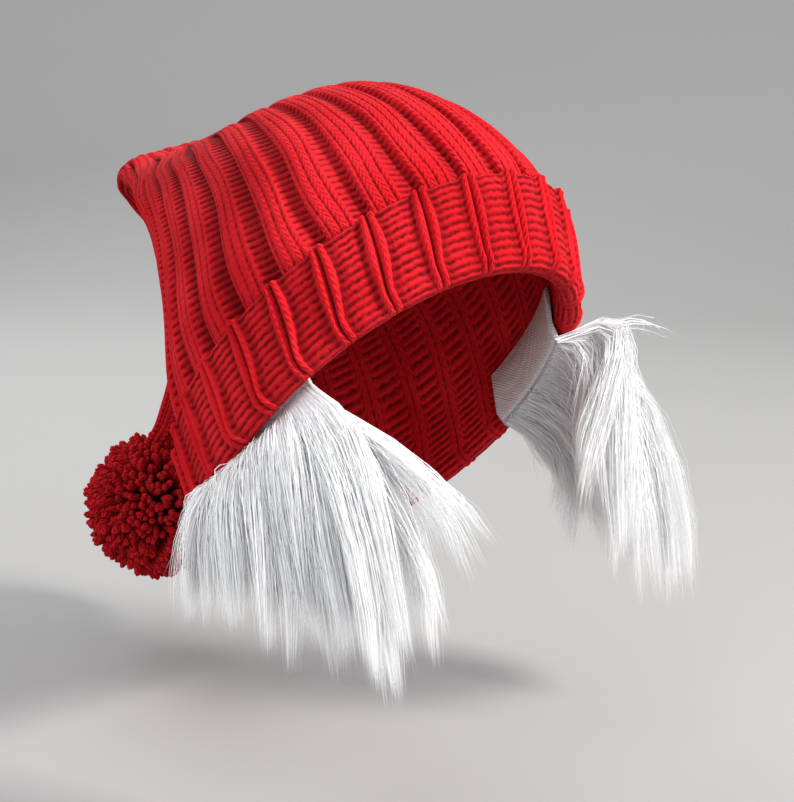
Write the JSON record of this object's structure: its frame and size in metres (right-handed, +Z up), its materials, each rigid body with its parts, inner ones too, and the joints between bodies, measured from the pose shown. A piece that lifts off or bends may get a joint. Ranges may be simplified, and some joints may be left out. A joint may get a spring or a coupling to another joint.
{
  "type": "santa hat",
  "caption": "Knitted red santa hat in its worn form: ribbed crown, turned-up cuff, folded tail with a yarn pompom, and long white fur pieces that hang at the temples",
  "frame": {"origin": "middle of the opening, in the plane of the turned-up edge, where the wearer's head fills the hat", "axes": "+Z is up as worn, -Y is where the face looks, +Y is the back with the tail, +X is the wearer's left"},
  "size_m": [0.2648, 0.3329, 0.2719],
  "materials": {
    "crown": "red worsted yarn, knitted in wide ribs",
    "cuff": "red worsted yarn, back of the rib knit, turned up",
    "tail": "red worsted yarn, gathered ribs",
    "pompom": "cut ends of red plied yarn",
    "fur_right": "long white pile, brushed into locks",
    "fur_left": "long white pile, brushed into locks"
  },
  "bodies": {
    "root": {"crown": "crown", "cuff": "cuff", "tail": "tail", "pompom": "pompom", "fur_right": "fur_right", "fur_left": "fur_left"}
  },
  "joints": []
}
